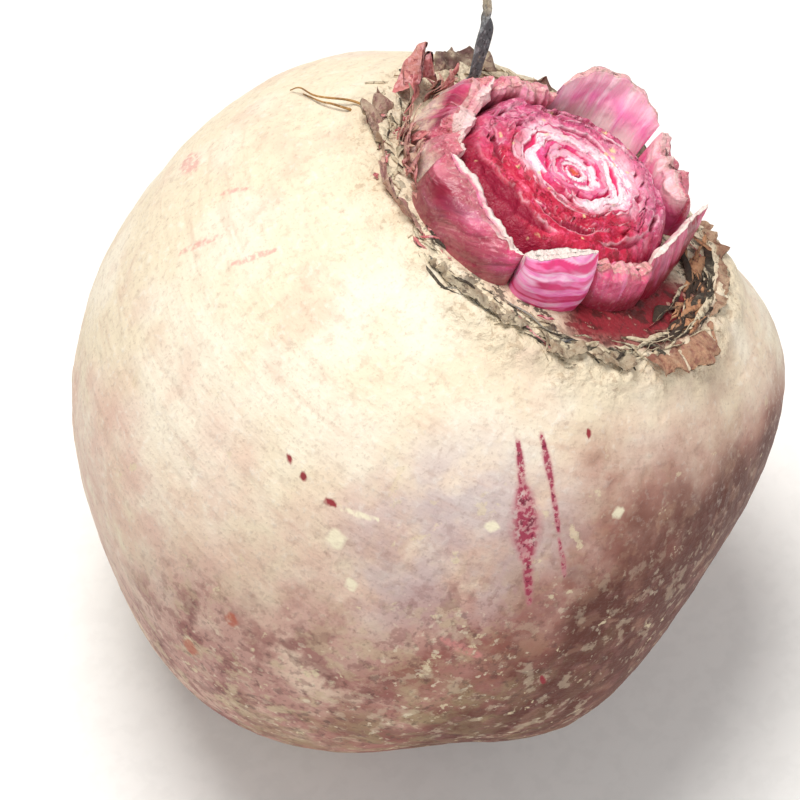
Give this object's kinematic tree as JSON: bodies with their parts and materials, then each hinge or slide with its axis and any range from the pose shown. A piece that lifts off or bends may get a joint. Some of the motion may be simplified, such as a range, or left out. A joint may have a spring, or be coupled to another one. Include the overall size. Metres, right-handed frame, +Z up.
{
  "type": "beetroot",
  "caption": "Whole beetroot lying on its side: round pale root with a short broken tap root, and a leaning crown of cut pink leaf stalks ringed by dry leaf bases.",
  "frame": {"origin": "middle of the flat spot under the root, on the surface that it rests on", "axes": "+Z up from that surface; the crown leans from +Z towards +X and a little towards +Y, and the tap root points down towards -X and -Y"},
  "size_m": [0.094, 0.0906, 0.0972],
  "materials": {
    "beet_skin": "matte",
    "cut_heart": "satin",
    "leaf_stalk": "satin",
    "dry_leaf": "matte",
    "rootlet": "matte"
  },
  "bodies": {
    "root": {"root": "beet_skin", "stalk_heart": "cut_heart", "leaf_stalk_1": "leaf_stalk", "leaf_stalk_2": "leaf_stalk", "leaf_stalk_3": "leaf_stalk", "leaf_stalk_4": "leaf_stalk", "leaf_stalk_5": "leaf_stalk", "leaf_stalk_6": "leaf_stalk", "leaf_stalk_7": "leaf_stalk", "leaf_stalk_8": "leaf_stalk", "dry_leaf_base_1": "dry_leaf", "dry_leaf_base_2": "dry_leaf", "dry_leaf_base_3": "dry_leaf", "dry_leaf_base_4": "dry_leaf", "dry_leaf_base_5": "dry_leaf", "dry_leaf_base_6": "dry_leaf", "dry_leaf_base_7": "dry_leaf", "dry_leaf_base_8": "dry_leaf", "dry_leaf_base_9": "dry_leaf", "withered_stalk": "dry_leaf", "crown_fibre_1": "dry_leaf", "crown_fibre_2": "dry_leaf", "rootlet_1": "rootlet", "rootlet_2": "rootlet", "rootlet_3": "rootlet", "rootlet_4": "rootlet", "rootlet_5": "rootlet"}
  },
  "joints": []
}
